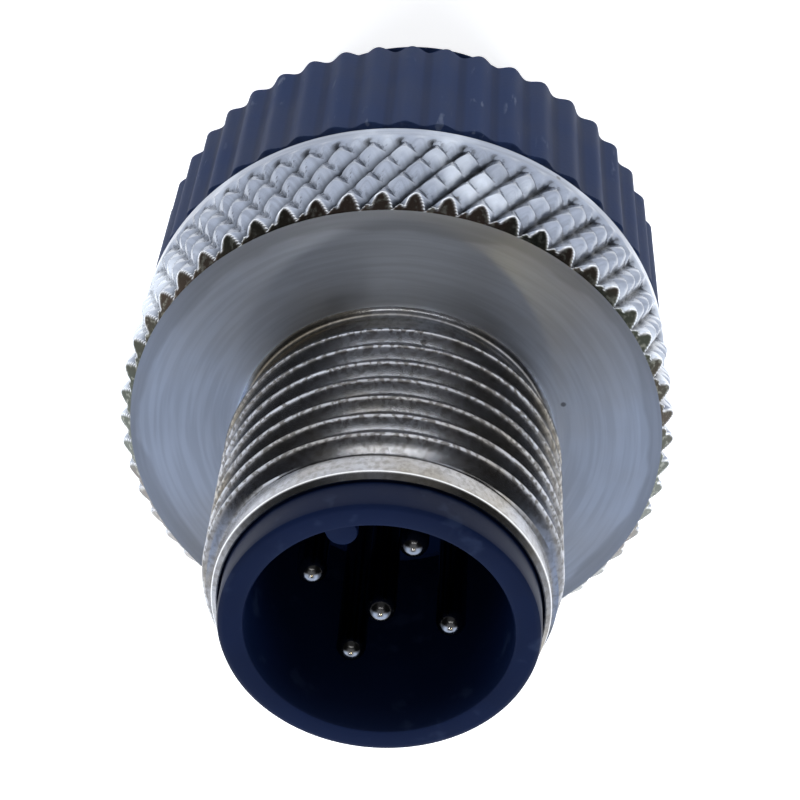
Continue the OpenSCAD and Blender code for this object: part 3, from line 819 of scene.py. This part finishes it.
def make_moulded_ribs():
    """Rounded ribs whose ends slope down to a collar, the valleys ending lower than the ridges."""
    tree, w, sizes = new_tree("moulded_ribs", (
        "Crest radius", "Depth", "Count", "End", "Set-back", "Collar radius"))
    end_steepness = 2.2
    radius, height, turn, cut = blank_points(w)
    wave = w.math("COSINE", w.mul(turn, w.mul(sizes["Count"], 2 * math.pi)))
    ridge = w.high(w.add(0.5, w.mul(0.5, wave)), 0.0)
    valley = w.sub(1.0, ridge)
    ribbed = w.sub(sizes["Crest radius"], w.mul(valley, sizes["Depth"]))
    below_end = w.sub(w.sub(sizes["End"], w.mul(valley, sizes["Set-back"])), height)
    sloped = w.add(sizes["Collar radius"], w.mul(w.high(below_end, 0.0), end_steepness))
    kept = keep(w, sizes["Geometry"], "valley", w.mul(cut, valley))
    place_round(w, kept, w.between(cut, radius, w.low(ribbed, sloped)), turn, height, sizes["Finish"])
    return tree


moulded_ribs = make_moulded_ribs()
rib_end_z = grip_top_z - rib_end_height
housing_outline = [(tail_bore_r, tail_z, 0), (tail_r, tail_z, 0), (tail_r, cone_z, 0), (cone_r, cone_z, 0),
                   (cone_r + 0.1, cone_z + 0.06, 0), (collar_r, grip_z - 0.14, 0),
                   (collar_r + 0.08, grip_z, 0)]
housing_outline += cut_rows(collar_r + 0.18, grip_z + 0.02, rib_end_z, 14)
housing_outline += cut_rows(collar_r + 0.18, rib_end_z, grip_top_z, 15, closed=True)
housing_outline += [(counterbore_r, grip_top_z, 0), (counterbore_r, thread_top_z, 0),
                    (thread_bore_r, thread_top_z, 0), (thread_bore_r, chamber_top_z, 0),
                    (chamber_r, chamber_top_z, 0), (chamber_r, housing_web_top_z, 0),
                    (web_hole_r, housing_web_top_z, 0), (web_hole_r, housing_web_z, 0),
                    (tail_bore_r, housing_web_z, 0)]
housing = turned_blank("housing_ribbed", housing_outline, housing_ribs * tooth_columns)
cut_with(housing, moulded_ribs, housing_plastic, {
    "Crest radius": housing_r, "Depth": rib_depth, "End": grip_top_z - 0.02, "Set-back": rib_set_back,
    "Collar radius": collar_r,
}, {"Count": housing_ribs})
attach(housing, "housing")
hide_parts("housing")

# ---- cable gland ------------------------------------------------------------
# A rubber bush round the cable, a slotted cage that grips it, a slip washer, and the
# fluted pressing nut that squeezes them when it is screwed onto the housing's tail.
nut_len, nut_r, nut_wall, nut_hole_r, nut_bore_r, nut_flutes = 5.1, 6.9, 1.2, 3.1, 5.68, 30
flute_z, flute_blank_r, flute_depth, flute_set_back, flute_end_height = 2.1, 6.6, 0.22, 0.20, 0.30
cage_plastic = moulded("cage_plastic", (0.29, 0.30, 0.32), (0.42, 0.42, 0.43), roughness=0.5, grain=0.006)
washer_steel = nickel("washer_steel", (0.60, 0.60, 0.62), (0.40, 0.37, 0.33), stain_share=0.3,
                      roughness=0.3, ring_depth=0.003)
finish_node("cable_seal", seal_rubber)
finish_node("clamp_cage", cage_plastic)
finish_node("thrust_washer", washer_steel)
nut_outline = [(nut_hole_r, 0.0, 0), (nut_r - 1.08, 0.0, 0), (nut_r - 0.95, 0.06, 0),
               (nut_r - 0.04, flute_z - 0.18, 0), (nut_r, flute_z - 0.05, 0)]
nut_outline += cut_rows(flute_blank_r, flute_z, nut_len - flute_end_height - 0.02, 9)
nut_outline += cut_rows(flute_blank_r, nut_len - flute_end_height, nut_len, 6, closed=True)
nut_outline += [(nut_bore_r, nut_len, 0), (nut_bore_r, nut_wall, 0), (nut_hole_r, nut_wall, 0)]
nut = turned_blank("gland_nut_fluted", nut_outline, nut_flutes * tooth_columns)
cut_with(nut, moulded_ribs, housing_plastic, {
    "Crest radius": nut_r, "Depth": flute_depth, "End": nut_len - 0.02, "Set-back": flute_set_back,
    "Collar radius": nut_r - 0.38,
}, {"Count": nut_flutes})
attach(nut, "nut")
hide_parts("gland_nut")
